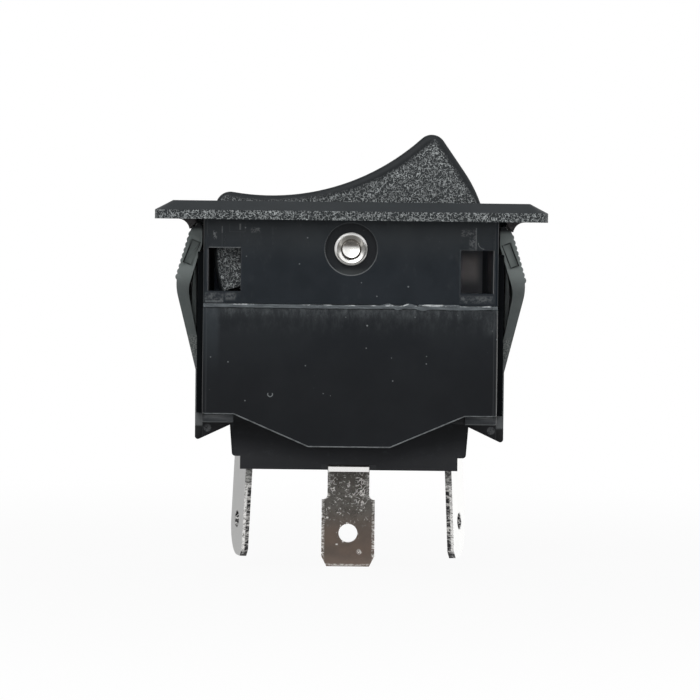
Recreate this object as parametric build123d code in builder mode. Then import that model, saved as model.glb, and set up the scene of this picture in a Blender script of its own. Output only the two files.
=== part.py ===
from build123d import *
import os
from math import asin, atan2, cos, degrees, pi, radians, sin, sqrt, tan

# Snap-in rocker switch with changeover contacts and three blade terminals in one row.
# Sizes are in millimetres. The origin is the centre of the panel seat, the underside of
# the bezel's flange. +X runs along the switch, +Y across it and +Z out of the panel.
# It is drawn at rest with its left end pressed, which closes the right-hand contacts.

# Clearances
running_gap = 0.05          # radial, between a pin or plunger and its bore
seat_gap = 0.05             # between fixed pieces that slide together
swing_gap = 0.3             # round the rocker and other moving pieces
end_gap = 0.55              # past the rocker's ends

# Bezel flange
flange_length = 45.5
flange_width = 25.0
flange_corner = 2.4
rim_height = 1.05           # upright grained edge
bevel_height = 1.1
bevel_run = 2.1
gusset_depth = 1.15         # gussets under both ends of the flange
gusset_inner_depth = 0.4
gusset_width = 11.0
gusset_inner_reach = 1.1    # reaches are measured out from the body's end
gusset_toe_reach = 1.85
gusset_outer_reach = 3.2
gusset_web_depth = 0.55     # narrower web from the gusset to the body
gusset_web_width = 8.0
relief_height = 0.3         # pockets in the flange over the wing tips and gussets
relief_reach = 3.5

# Rocker, measured from its pivot
pivot_depth = 3.3           # below the panel seat
throw_angle = 16.4          # tilt to either side of level
rocker_reach = 15.95        # radius of both ends
rocker_width = 16.7
rocker_wall = 1.5
end_draft = 18.3            # slope of the ends above the round part
dish_radius = 26.1          # hollow of the top face
dish_height = 7.5           # lowest point of the top face
crest_radius = 1.7
edge_round = 0.8
inner_crest_radius = 0.3    # smallest round under the crests
skirt_drop = 0.65           # skirt below the pivot
web_thickness = 1.4

# Body walls
side_wall = 1.65
end_wall = 0.6
frame_depth = 9.7           # bezel frame below the panel seat
body_corner = 0.6
edge_break = 0.15           # chamfer on the lower edges of the housing and base
gasket_thickness = 0.42
joint_gap = 0.06            # gasket to the mouldings above and below
housing_bottom = 22.6       # depth below the seat
housing_wall = 1.2
housing_deck = 1.0
apron_drop = 3.7            # housing's side aprons, below its lower edge
apron_top = 26.8            # apron widths
apron_foot = 9.5

# Windows in the near side wall of the frame
window_inner = 12.75
window_outer = 16.5
window_top = 3.3
window_bottom = 8.3
step_height = 1.65          # shallow mould steps above each window
step_band = 0.15            # left between a step and the window
step_split = 1.85           # length of the inner step
step_bar = 0.25             # between the two steps
step_sink = 0.1

# Pivot rivet
rivet_radius = 1.5
rivet_rim = 1.97            # rolled end
rivet_bore = 1.05
rivet_bore_depth = 1.7
rivet_bore_cone = 0.35      # drill point at the bottom of the bore
rivet_head = 2.5
rivet_head_dome = 0.8
rivet_facets = 4            # turned facets round the rim and over the head
recess_radius = 3.05
recess_depth = 1.0

# Plunger and spring, measured from the pivot along the rocker's boss
boss_radius = 2.7
boss_length = 8.9
hub_radius = 2.7
plunger_radius = 1.25
plunger_head = 6.6          # depth of the spring seat
plunger_reach = 12.5        # depth of the round tip
spring_seat = 3.4           # roof of the bore
spring_wire = 0.15          # radius
spring_radius = 0.95
spring_pitch = 0.9
spring_wire_sides = 4
spigot_radius = 0.6
spigot_length = 0.9

# Tilting contact arm
arm_angle = 8.0             # tilt to either side of level
arm_thickness = 0.8
arm_width = 5.6
arm_half_length = 11.9
arm_rise = 0.1              # underside above the rocking axis
cradle_radius = 6.6         # hollow that the plunger tip rides in
cradle_half_angle = 36.0
tip_gap = 0.1               # plunger tip above the cradle, rocker level
contact_x = 10.2
moving_contact_radius = 1.7
moving_contact_height = 0.8
moving_contact_crown = 6.0
fixed_contact_radius = 1.9
fixed_contact_height = 0.6
contact_gap = 0.04          # closed contacts

# Terminals
strip_thickness = 0.8
blade_width = 6.3
neck_width = 4.95
neck_length = 4.15          # below the base
shoulder_round = 0.6        # hollow corners where the neck meets the blade
blade_chamfer = 1.2
centre_blade_drop = 12.05   # below the base
end_blade_drop = 10.75
end_hole_rise = 4.2         # hole above the tip
end_hole_radius = 0.95
end_blade_round = 4.0       # far lower corner
end_blade_chamfer = 0.8     # near lower corner
end_terminal_x = 12.5
toe_angle = 14.5            # plan angle of the end blades
lean_angle = 2.6            # end blades spread downwards
shelf_width = 4.6
ear_span = 6.2              # outside of the fulcrum ears
ear_ridge = 0.4             # round ridge that the arm rocks on

# Terminal base
ledge_height = 0.95
block_length = 27.8         # at the top, before the draft
block_draft = 4.5
block_round = 0.4           # lower corners of the drafted part
base_drop = 6.4             # underside of the base, below the housing
block_step_height = 1.5     # notch under both ends of the block
foot_length = 25.3          # block between the end notches
block_width = 17.6
lead_notch_width = 6.4
lead_notch_height = 0.6

# Snap wings at both ends, on the base. Depths are below the seat, and reaches are
# measured out from the body's end.
wing_width = 12.0
strap_thickness = 0.9
strap_top = 17.6
foot_drop = 2.4             # below the ledge
strap_foot_round = 0.35
foot_thickness = 0.45
foot_root = 1.0             # overlap of the foot with the block
crest_depth = 7.45          # widest point of the wing
crest_reach = 3.5
crest_round = 6.0
hollow_depth = 8.2          # inner side of the wing
hollow_reach = 1.95
hollow_round = 4.0
tip_depth = 0.85
tip_inner_reach = 0.3
tip_outer_reach = 1.55
tip_round = 0.75
tip_neck = 2.0              # upright inner face at the tip
tooth_pitch = 0.65
tooth_radius = 0.42
tooth_inset = 0.3           # tooth centres inside the ramp
tooth_start = 0.9           # first tooth from the tip
tooth_count = 9
panel_length = 3.0          # shallow panel in each side of a wing
panel_width = 1.1
panel_depth = 0.25
panel_start = 1.45          # from the tip, along the ramp
panel_inset = 0.35          # from the ramp
rib_width = 9.0             # bowed rib in the hollow behind a wing
rib_reach = 1.0
rib_bow = 0.5
rib_top = 4.9
rib_bottom = 12.9
rail_width = 1.1
rail_height = 0.75
rail_top = 3.8

# Worked out from the sizes above
pivot_z = -pivot_depth
opening_length = 2 * (rocker_reach + end_gap)
opening_width = rocker_width + 2 * swing_gap
body_length = opening_length + 2 * end_wall
body_width = opening_width + 2 * side_wall
body_end = body_length / 2
apron_depth = housing_bottom + apron_drop
base_bottom = housing_bottom + base_drop
ledge_bottom = housing_bottom + ledge_height
strap_foot = ledge_bottom + foot_drop
gasket_top = frame_depth + joint_gap
gasket_bottom = gasket_top + gasket_thickness
housing_top = gasket_bottom + joint_gap
plunger_tip_centre = plunger_reach - plunger_radius
cradle_z = pivot_z - plunger_reach - tip_gap
cradle_floor = arm_rise + arm_thickness
arm_pivot_z = cradle_z - cradle_floor
arm_top = cradle_floor + cradle_radius * (1 - cos(radians(cradle_half_angle)))
arm_bottom = arm_top - arm_thickness

rocker_tilt = radians(throw_angle)
arm_tilt = radians(arm_angle)
rocker_plane = Plane(
    origin=(0, 0, pivot_z), x_dir=(cos(rocker_tilt), 0, sin(rocker_tilt)), z_dir=(0, -1, 0)
)
arm_plane = Plane(
    origin=(0, 0, arm_pivot_z), x_dir=(cos(arm_tilt), 0, -sin(arm_tilt)), z_dir=(0, -1, 0)
)

# Height of the closed contact pair: the crowned face touches where its normal is upright
crown_centre = arm_bottom - moving_contact_height + moving_contact_crown
closed_contact_z = (
    arm_pivot_z - contact_x * sin(arm_tilt) + crown_centre * cos(arm_tilt)
    - moving_contact_crown
)
fixed_contact_top = closed_contact_z - contact_gap
shelf_top = fixed_contact_top - fixed_contact_height
floor_z = shelf_top - strip_thickness
fixed_contact_x = contact_x * cos(arm_tilt) + crown_centre * sin(arm_tilt)
slot_reach = housing_top + housing_deck - pivot_depth
boss_slot_length = 2 * (
    slot_reach * tan(rocker_tilt) + boss_radius / cos(rocker_tilt) + swing_gap
)
boss_slot_width = 2 * (boss_radius + swing_gap)


def down_boss(depth):
    """Plane across the rocker's boss, facing away from the pivot."""
    away = Vector(sin(rocker_tilt), 0, -cos(rocker_tilt))
    return Plane(
        origin=Vector(0, 0, pivot_z) + away * depth, x_dir=rocker_plane.x_dir, z_dir=away
    )


def crest_corner(inset):
    """Sharp corner where an end's draft meets the dished top, for a skin set in by inset."""
    reach = rocker_reach - inset
    radius = dish_radius + inset
    draft = radians(end_draft)
    rise = dish_height + dish_radius
    along = rise * cos(draft)
    across = reach**2 - 2 * reach * sin(draft) * rise + rise**2
    run = along - sqrt(along**2 - across + radius**2)
    return reach * cos(draft) - run * sin(draft), reach * sin(draft) + run * cos(draft)


def rocker_outline(inset, drop):
    """Rocker seen from the side, with its skin set in by inset and cut off at drop."""
    reach = rocker_reach - inset
    crest = crest_corner(inset)
    skirt_angle = degrees(asin(drop / reach))
    with BuildSketch(rocker_plane) as outline:
        with BuildLine():
            right_end = CenterArc((0, 0), reach, -skirt_angle, skirt_angle + end_draft)
            Line(right_end @ 1, crest)
            ThreePointArc(crest, (0, dish_height - inset), (-crest[0], crest[1]))
            left_end = CenterArc((0, 0), reach, 180 - end_draft, skirt_angle + end_draft)
            Line((-crest[0], crest[1]), left_end @ 0)
            Line(left_end @ 1, right_end @ 0)
        make_face()
        fillet(outline.vertices().group_by(Axis.Y)[-1], max(crest_radius - inset, inner_crest_radius))
    return outline.sketch


def add_block(top, bottom, length, width, corner):
    """Upright block with rounded corners between two depths."""
    with BuildSketch(Plane.XY.offset(-bottom)) as outline:
        RectangleRounded(length, width, corner)
    extrude(outline.sketch, amount=bottom - top)


def add_end_rails(top, bottom):
    """Rails on both end walls that stand on either side of the snap wings."""
    centre = wing_width / 2 + swing_gap + rail_width / 2
    with BuildSketch(Plane.XY.offset(-bottom)) as outline:
        with GridLocations(body_length + rail_height, 2 * centre, 2, 2):
            Rectangle(rail_height, rail_width)
    extrude(outline.sketch, amount=bottom - top)


def lower_side_edges(piece, depth):
    """Outer edges of both long sides of the body, at depth and below it."""
    sides = piece.faces().filter_by(Axis.Y).filter_by(
        lambda f: abs(f.center().Y) > body_width / 2 - edge_break
    )
    return sides.edges().filter_by(lambda e: e.center().Z < edge_break - depth)


# ---------------------------------------------------------------- bezel frame
with BuildPart() as bezel_frame:
    with BuildSketch():
        RectangleRounded(flange_length, flange_width, flange_corner)
    extrude(amount=rim_height + bevel_height)
    flange_top = bezel_frame.faces().sort_by(Axis.Z)[-1]
    chamfer(flange_top.edges(), bevel_run, bevel_height, reference=flange_top)
    add_block(0, frame_depth, body_length, body_width, body_corner)
    add_end_rails(rail_top, housing_top - joint_gap)
    with BuildSketch(Plane.XY.offset(-frame_depth)):
        Rectangle(opening_length, opening_width)
    extrude(amount=frame_depth + rim_height + bevel_height, mode=Mode.SUBTRACT)

    # Windows in the near wall
    with BuildSketch(Plane.XZ.offset(opening_width / 2)):
        with Locations((0, -(window_top + window_bottom) / 2)):
            with GridLocations(window_inner + window_outer, 1, 2, 1):
                Rectangle(window_outer - window_inner, window_bottom - window_top)
    extrude(amount=side_wall, mode=Mode.SUBTRACT)

    # Mould steps above the windows
    inner_end = window_inner + step_split
    outer_start = inner_end + step_bar
    with BuildSketch(Plane.XZ.offset(body_width / 2)):
        with Locations((window_inner, step_band - window_top)):
            Rectangle(step_split, step_height, align=Align.MIN)
        with Locations((outer_start, step_band - window_top)):
            Rectangle(window_outer - outer_start, step_height, align=Align.MIN)
        mirror(about=Plane.YZ)
    extrude(amount=-step_sink, mode=Mode.SUBTRACT)

    # Rivet hole with a round recess in each side
    with BuildSketch(Plane.XZ):
        with Locations((0, pivot_z)):
            Circle(rivet_radius)
    extrude(amount=body_width, both=True, mode=Mode.SUBTRACT)
    for side in (-1, 1):
        with BuildSketch(Plane.XZ.offset(side * body_width / 2)):
            with Locations((0, pivot_z)):
                Circle(recess_radius)
        extrude(amount=-side * recess_depth, mode=Mode.SUBTRACT)

    # Pockets in the flange over the wing tips, which leave the seat a flat ring
    with BuildSketch():
        Rectangle(body_length + 2 * relief_reach, wing_width + 2 * swing_gap)
        Rectangle(body_length, body_width, mode=Mode.SUBTRACT)
    extrude(amount=relief_height, mode=Mode.SUBTRACT)

    # Gussets in the pockets, just above the tips of the wings
    with BuildSketch(Plane.XZ):
        with BuildLine():
            hollow = TangentArc(
                (body_end + gusset_outer_reach, 0),
                (body_end + gusset_toe_reach, -gusset_depth),
                tangent=(-1, 0),
            )
            Polyline(
                hollow @ 1,
                (body_end + gusset_inner_reach, -gusset_inner_depth),
                (body_end + gusset_inner_reach, relief_height),
                (body_end + gusset_outer_reach, relief_height),
                hollow @ 0,
            )
        make_face()
        mirror(about=Plane.YZ)
    extrude(amount=gusset_width / 2, both=True)
    with BuildSketch(Plane.XZ):
        with Locations((body_end, relief_height)):
            Rectangle(
                gusset_inner_reach, relief_height + gusset_web_depth, align=(Align.MIN, Align.MAX)
            )
        mirror(about=Plane.YZ)
    extrude(amount=gusset_web_width / 2, both=True)

bezel_frame.part.label = "bezel_frame"

# ---------------------------------------------------------------- rocker
with BuildPart() as rocker:
    extrude(rocker_outline(0, skirt_drop), amount=rocker_width / 2, both=True)
    side_edges = rocker.faces().filter_by(Axis.Y).edges()
    upper_edges = side_edges.filter_by(
        lambda e: rocker_plane.to_local_coords(e @ 0.5).Y > -skirt_drop / 2
    )
    fillet(upper_edges, edge_round)

    # Hollow underside, with a hub and webs left standing in it
    hollow = rocker_outline(rocker_wall, skirt_drop)
    extrude(hollow, amount=rocker_width / 2 - rocker_wall, both=True, mode=Mode.SUBTRACT)
    extrude(rocker_outline(rocker_wall / 2, skirt_drop / 2), amount=web_thickness / 2, both=True)
    with BuildSketch(rocker_plane):
        Circle(hub_radius)
        with Locations((0, dish_height / 2)):
            Rectangle(web_thickness, dish_height - rocker_wall / 2)
    extrude(amount=rocker_width / 2 - rocker_wall / 2, both=True)
    with BuildSketch(down_boss(0)):
        Circle(boss_radius)
    extrude(amount=boss_length)

    # Rivet hole and spring bore
    with BuildSketch(rocker_plane):
        Circle(rivet_radius + running_gap)
    extrude(amount=rocker_width, both=True, mode=Mode.SUBTRACT)
    with BuildSketch(down_boss(spring_seat)):
        Circle(plunger_radius + running_gap)
    extrude(amount=boss_length, mode=Mode.SUBTRACT)

rocker.part.label = "rocker"

# ---------------------------------------------------------------- pivot rivet
seat_y = body_width / 2 - recess_depth
rim_round = (rivet_rim - rivet_bore) / 2
rim_centre_y = seat_y + rim_round
bore_end_y = rivet_bore_depth - rim_centre_y

with BuildPart() as pivot_rivet:
    with BuildSketch(Plane.XY.offset(pivot_z)):
        turns = [pi * facet / rivet_facets for facet in range(rivet_facets + 1)]
        rim = [
            (rivet_bore + rim_round * (1 - cos(turn)), -rim_centre_y - rim_round * sin(turn))
            for turn in turns
        ]
        head = [
            (rivet_head * cos(turn / 2), seat_y + rivet_head_dome * sin(turn / 2))
            for turn in turns
        ]
        with BuildLine():
            Polyline(
                (0, bore_end_y - rivet_bore_cone),
                (rivet_bore, bore_end_y),
                *rim,
                (rivet_rim - rim_round / 2, -seat_y),
                (rivet_radius, -seat_y),
                (rivet_radius, seat_y),
                *head,
                close=True,
            )
        make_face()
    revolve(axis=Axis((0, 0, pivot_z), (0, 1, 0)))

pivot_rivet.part.label = "pivot_rivet"

# ---------------------------------------------------------------- gasket sheet
with BuildPart() as seal_gasket:
    with BuildSketch(Plane.XY.offset(-gasket_bottom)):
        RectangleRounded(body_length - 2 * seat_gap, body_width - 2 * seat_gap, body_corner)
        Rectangle(boss_slot_length, boss_slot_width, mode=Mode.SUBTRACT)
    extrude(amount=gasket_thickness)

seal_gasket.part.label = "seal_gasket"

# ---------------------------------------------------------------- contact housing
cavity_length = body_length - 2 * housing_wall
cavity_width = body_width - 2 * housing_wall

with BuildPart() as contact_housing:
    add_block(housing_top, housing_bottom, body_length, body_width, body_corner)
    add_end_rails(housing_top, housing_bottom)
    with BuildSketch(Plane.XZ):
        with BuildLine():
            Polyline(
                (-apron_top / 2, -housing_bottom),
                (-apron_foot / 2, -apron_depth),
                (apron_foot / 2, -apron_depth),
                (apron_top / 2, -housing_bottom),
                (-apron_top / 2, -housing_bottom),
            )
        make_face()
    extrude(amount=body_width / 2, both=True)
    with BuildSketch(Plane.XY.offset(-apron_depth)):
        Rectangle(cavity_length, cavity_width)
    extrude(amount=apron_depth - housing_top - housing_deck, mode=Mode.SUBTRACT)
    with BuildSketch(Plane.XY.offset(-housing_top)):
        Rectangle(boss_slot_length, boss_slot_width)
    extrude(amount=-housing_deck, mode=Mode.SUBTRACT)
    chamfer(lower_side_edges(contact_housing, housing_bottom), edge_break)

contact_housing.part.label = "contact_housing"

# ---------------------------------------------------------------- end terminal planes
def blade_plane(side):
    """Mid-plane of an end terminal at the base's underside: X across the blade, Y up it."""
    toe = radians(toe_angle)
    lean = radians(lean_angle)
    outward = Vector(side * cos(toe), -sin(toe), 0)
    along = Vector(0, 0, 1).cross(outward)
    up = Vector(0, 0, 1) * cos(lean) - outward * sin(lean)
    return Plane(
        origin=(side * end_terminal_x, 0, -base_bottom), x_dir=along, z_dir=along.cross(up)
    )


def draw_blade(neck, drop, strip_top):
    """Blade, neck and strip on a plane whose origin is the base's underside."""
    with Locations((0, -drop)):
        Rectangle(blade_width, drop - neck_length, align=(Align.CENTER, Align.MIN))
    with Locations((0, -neck_length)):
        Rectangle(neck, neck_length + strip_top, align=(Align.CENTER, Align.MIN))


# ---------------------------------------------------------------- terminal base
wing_tip = (body_end + tip_outer_reach, -tip_depth)
wing_crest = (body_end + crest_reach, -crest_depth)
ramp_angle = degrees(atan2(wing_crest[0] - wing_tip[0], crest_depth - tip_depth))


def ramp_point(run, inset):
    """Point on the wing's side view, run down the ramp from the tip and inset into it."""
    slope = radians(ramp_angle)
    return (
        wing_tip[0] + run * sin(slope) - inset * cos(slope),
        wing_tip[1] - run * cos(slope) - inset * sin(slope),
    )


def wing_outline():
    """Right-hand snap wing, its strap and foot, seen from the side."""
    inner = body_end + seat_gap
    outer = inner + strap_thickness
    root = block_length / 2 - foot_root
    wing_hollow = (body_end + hollow_reach, -hollow_depth)
    foot_tip = (outer, -strap_foot)
    with BuildSketch(Plane.XZ) as wing:
        with BuildLine():
            Polyline(
                (inner, -strap_top), (inner, -ledge_bottom), (root, -ledge_bottom),
                (root, -ledge_bottom - foot_thickness),
                (block_length / 2, -ledge_bottom - foot_thickness),
                foot_tip, (outer, -strap_top),
                wing_crest, wing_tip,
                (body_end + tip_inner_reach, -tip_depth),
                (body_end + tip_inner_reach, -tip_depth - tip_neck),
                wing_hollow, (inner, -strap_top),
            )
        make_face()
        rounds = (
            (wing_crest, crest_round), (wing_hollow, hollow_round), (wing_tip, tip_round),
            (foot_tip, strap_foot_round),
        )
        for corner, radius in rounds:
            fillet(wing.vertices().sort_by_distance(corner)[0], radius)
        for tooth in range(tooth_count):
            with Locations(ramp_point(tooth_start + tooth * tooth_pitch, tooth_inset)):
                Circle(tooth_radius)
    return wing.sketch


def rib_outline():
    """Bowed rib behind a wing, with a straight inner edge."""
    top = (body_end + rib_reach, -rib_top)
    bottom = (body_end + rib_reach, -rib_bottom)
    with BuildSketch(Plane.XZ) as rib:
        with BuildLine():
            ThreePointArc(top, (body_end + rib_reach + rib_bow, -hollow_depth), bottom)
            Line(bottom, top)
        make_face()
    return rib.sketch


with BuildPart() as terminal_base:
    with BuildSketch(Plane.XY.offset(-(housing_bottom + seat_gap))):
        Rectangle(cavity_length - 2 * seat_gap, cavity_width - 2 * seat_gap)
    extrude(amount=housing_bottom + seat_gap + floor_z)
    add_block(housing_bottom + seat_gap, ledge_bottom, body_length, body_width, body_corner)
    with BuildSketch(Plane.XY.offset(-ledge_bottom)):
        with GridLocations(1, body_width, 1, 2):
            Rectangle(apron_top + 2 * seat_gap, 2 * (housing_wall + seat_gap))
    extrude(amount=ledge_height, mode=Mode.SUBTRACT)
    chamfer(lower_side_edges(terminal_base, ledge_bottom), edge_break)
    block_step = base_bottom - block_step_height
    drafted_end = block_length / 2 - (block_step - ledge_bottom) * tan(radians(block_draft))
    with BuildSketch(Plane.XZ) as block:
        with BuildLine():
            Polyline(
                (0, -housing_bottom - seat_gap),
                (block_length / 2, -housing_bottom - seat_gap),
                (block_length / 2, -ledge_bottom),
                (drafted_end, -block_step),
                (foot_length / 2, -block_step),
                (foot_length / 2, -base_bottom),
                (0, -base_bottom),
                close=True,
            )
        make_face()
        fillet(block.vertices().sort_by_distance((drafted_end, -block_step))[0], block_round)
        mirror(about=Plane.YZ)
    extrude(amount=block_width / 2, both=True)
    wing = extrude(wing_outline(), amount=wing_width / 2, both=True)
    rib = extrude(rib_outline(), amount=rib_width / 2, both=True)
    mirror((wing, rib), about=Plane.YZ)

    # Shallow panels in the sides of the wings
    for side in (-1, 1):
        with BuildSketch(Plane.XZ.offset(side * wing_width / 2)):
            middle = ramp_point(panel_start + panel_length / 2, panel_inset + panel_width / 2)
            with Locations(Location(middle, ramp_angle)):
                Rectangle(panel_width, panel_length)
            mirror(about=Plane.YZ)
        extrude(amount=-side * panel_depth, mode=Mode.SUBTRACT)

    # Notch in the near lower edge, in front of the centre terminal
    with BuildSketch(Plane.XY.offset(-base_bottom)):
        Rectangle(lead_notch_width, block_width, align=(Align.CENTER, Align.MAX))
    extrude(amount=lead_notch_height, mode=Mode.SUBTRACT)

    # Slots for the three strips
    for side in (-1, 1):
        with BuildSketch(blade_plane(side)):
            Rectangle(blade_width + 2 * seat_gap, 4 * (base_bottom + floor_z))
        extrude(amount=strip_thickness / 2 + seat_gap, both=True, mode=Mode.SUBTRACT)
    with BuildSketch(Plane.XY.offset(-base_bottom)):
        Rectangle(neck_width + 2 * seat_gap, strip_thickness + 2 * seat_gap)
    extrude(amount=base_bottom + floor_z, mode=Mode.SUBTRACT)

terminal_base.part.label = "terminal_base"

# ---------------------------------------------------------------- plunger and spring
with BuildPart() as plunger:
    with BuildSketch(down_boss(plunger_head)):
        Circle(plunger_radius)
    extrude(amount=plunger_tip_centre - plunger_head)
    with Locations(down_boss(plunger_tip_centre)):
        Sphere(plunger_radius)
    with BuildSketch(down_boss(plunger_head)):
        Circle(spigot_radius)
    extrude(amount=-spigot_length)

plunger.part.label = "plunger"

spring_length = plunger_head - spring_seat - 2 * spring_wire
spring_start = down_boss(spring_seat + spring_wire)
with BuildPart() as plunger_spring:
    with BuildLine():
        coil = Helix(
            spring_pitch, spring_length, spring_radius,
            center=spring_start.origin, direction=spring_start.z_dir,
        )
    with BuildSketch(Plane(origin=coil @ 0, z_dir=coil % 0)):
        RegularPolygon(spring_wire, spring_wire_sides)
    sweep(path=coil, is_frenet=True)

plunger_spring.part.label = "plunger_spring"

# ---------------------------------------------------------------- contact arm
with BuildPart() as contact_arm:
    half_angle = radians(cradle_half_angle)
    cradle_half = cradle_radius * sin(half_angle)
    outer_radius = cradle_radius + arm_thickness
    outer_half = sqrt(outer_radius**2 - (outer_radius + arm_rise - arm_bottom) ** 2)
    with BuildSketch(arm_plane):
        with BuildLine():
            Polyline(
                (-outer_half, arm_bottom),
                (-arm_half_length, arm_bottom),
                (-arm_half_length, arm_top),
                (-cradle_half, arm_top),
            )
            ThreePointArc((-cradle_half, arm_top), (0, cradle_floor), (cradle_half, arm_top))
            Polyline(
                (cradle_half, arm_top),
                (arm_half_length, arm_top),
                (arm_half_length, arm_bottom),
                (outer_half, arm_bottom),
            )
            ThreePointArc((outer_half, arm_bottom), (0, arm_rise), (-outer_half, arm_bottom))
        make_face()
        Circle(ear_ridge + running_gap, mode=Mode.SUBTRACT)
    extrude(amount=arm_width / 2, both=True)

contact_arm.part.label = "contact_arm"


def moving_contact(side):
    """Crowned contact under one end of the arm."""
    stem = arm_plane.from_local_coords(Vector(side * contact_x, 0, 0))
    crown_angle = degrees(asin(moving_contact_radius / moving_contact_crown))
    with BuildPart() as button:
        with BuildSketch(Plane(origin=stem, x_dir=arm_plane.x_dir, z_dir=arm_plane.z_dir)):
            with BuildLine():
                crown = CenterArc((0, crown_centre), moving_contact_crown, -90, crown_angle)
                Polyline(crown @ 1, (moving_contact_radius, arm_bottom), (0, arm_bottom), crown @ 0)
            make_face()
        revolve(axis=Axis(stem, arm_plane.y_dir))
    return button


moving_contact_right = moving_contact(1)
moving_contact_right.part.label = "moving_contact_right"
moving_contact_left = moving_contact(-1)
moving_contact_left.part.label = "moving_contact_left"


def fixed_contact(side):
    """Flat contact on one end terminal's shelf."""
    with BuildPart() as button:
        with BuildSketch(Plane.XY.offset(shelf_top)):
            with Locations((side * fixed_contact_x, 0)):
                Circle(fixed_contact_radius)
        extrude(amount=fixed_contact_height)
    return button


fixed_contact_right = fixed_contact(1)
fixed_contact_right.part.label = "fixed_contact_right"
fixed_contact_left = fixed_contact(-1)
fixed_contact_left.part.label = "fixed_contact_left"

# ---------------------------------------------------------------- terminals
with BuildPart() as common_terminal:
    centre_plane = Plane(origin=(0, 0, -base_bottom), x_dir=(1, 0, 0), z_dir=(0, -1, 0))
    with BuildSketch(centre_plane) as centre_blade:
        draw_blade(neck_width, centre_blade_drop, base_bottom + floor_z + strip_thickness)
        chamfer(centre_blade.vertices().group_by(Axis.Y)[0], blade_chamfer)
        shoulders = centre_blade.vertices().group_by(Axis.Y)[-2].sort_by(Axis.X)
        fillet(shoulders[1:3], shoulder_round)
    extrude(amount=strip_thickness / 2, both=True)
    with BuildSketch(Plane.XY.offset(floor_z)):
        Rectangle(neck_width, ear_span)
    extrude(amount=strip_thickness)
    for side in (-1, 1):
        with BuildSketch(Plane.XZ.offset(side * ear_span / 2)):
            with BuildLine():
                Polyline(
                    (-neck_width / 2, floor_z),
                    (neck_width / 2, floor_z),
                    (ear_ridge, arm_pivot_z),
                )
                CenterArc((0, arm_pivot_z), ear_ridge, 0, 180)
                Line((-ear_ridge, arm_pivot_z), (-neck_width / 2, floor_z))
            make_face()
        extrude(amount=-side * strip_thickness)

common_terminal.part.label = "common_terminal"


def end_terminal(side):
    """L-shaped end terminal: blade, strip through the base and shelf under the contact."""
    lean = radians(lean_angle)
    strip_top = (base_bottom + shelf_top) / cos(lean) - strip_thickness / 2 * tan(lean)
    with BuildPart() as terminal:
        with BuildSketch(blade_plane(side)) as blade:
            draw_blade(blade_width, end_blade_drop, strip_top)
            far = side * blade_width / 2
            fillet(blade.vertices().sort_by_distance((far, -end_blade_drop))[0], end_blade_round)
            chamfer(blade.vertices().sort_by_distance((-far, -end_blade_drop))[0], end_blade_chamfer)
            with Locations((0, end_hole_rise - end_blade_drop)):
                Circle(end_hole_radius, mode=Mode.SUBTRACT)
        extrude(amount=strip_thickness / 2, both=True)
        inward = Vector(-side * cos(radians(toe_angle)), sin(radians(toe_angle)), 0)
        shift = (base_bottom + floor_z) * tan(lean) - strip_thickness / 2
        start = Vector(side * end_terminal_x, 0, floor_z) + inward * shift
        with BuildSketch(Plane(origin=start, x_dir=inward, z_dir=(0, 0, 1))):
            Rectangle(shelf_width, blade_width, align=(Align.MIN, Align.CENTER))
        extrude(amount=strip_thickness)
    return terminal


left_terminal = end_terminal(-1)
left_terminal.part.label = "left_terminal"
right_terminal = end_terminal(1)
right_terminal.part.label = "right_terminal"

# ---------------------------------------------------------------- one STEP file per piece
os.makedirs("parts", exist_ok=True)
pieces = (
    bezel_frame, rocker, pivot_rivet, seal_gasket, contact_housing, terminal_base,
    plunger, plunger_spring, contact_arm, moving_contact_left, moving_contact_right,
    fixed_contact_left, fixed_contact_right, common_terminal, left_terminal, right_terminal,
)
for piece in pieces:
    export_step(piece.part, f"parts/{piece.part.label}.step")
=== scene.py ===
from math import asin, cos, pi, radians, sin

import bmesh
import bpy
from mathutils import Matrix, Vector


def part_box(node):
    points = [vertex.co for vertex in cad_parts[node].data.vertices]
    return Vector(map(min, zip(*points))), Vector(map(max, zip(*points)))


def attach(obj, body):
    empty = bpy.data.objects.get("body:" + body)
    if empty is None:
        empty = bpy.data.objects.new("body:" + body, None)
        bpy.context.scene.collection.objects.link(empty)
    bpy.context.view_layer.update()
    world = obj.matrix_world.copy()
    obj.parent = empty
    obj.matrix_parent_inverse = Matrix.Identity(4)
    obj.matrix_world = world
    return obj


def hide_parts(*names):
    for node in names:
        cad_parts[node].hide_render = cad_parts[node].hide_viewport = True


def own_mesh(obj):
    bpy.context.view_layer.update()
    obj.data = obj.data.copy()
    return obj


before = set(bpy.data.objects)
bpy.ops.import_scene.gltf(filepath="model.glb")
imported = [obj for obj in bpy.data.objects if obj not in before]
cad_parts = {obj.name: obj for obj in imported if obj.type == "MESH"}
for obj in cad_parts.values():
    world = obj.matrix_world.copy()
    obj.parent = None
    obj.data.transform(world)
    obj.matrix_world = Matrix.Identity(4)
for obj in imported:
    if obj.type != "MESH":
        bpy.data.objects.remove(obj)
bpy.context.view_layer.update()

# Lengths in this script are in millimetres until a mesh, a lamp or the camera is made.
MM = 0.001

# ------------------------------------------------------------------ places, from the frame
def low(node, axis):
    """Lowest coordinate of a node along an axis, 0 to 2, in millimetres."""
    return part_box(node)[0][axis] / MM


def high(node, axis):
    """Highest coordinate of a node along an axis, 0 to 2, in millimetres."""
    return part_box(node)[1][axis] / MM


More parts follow.
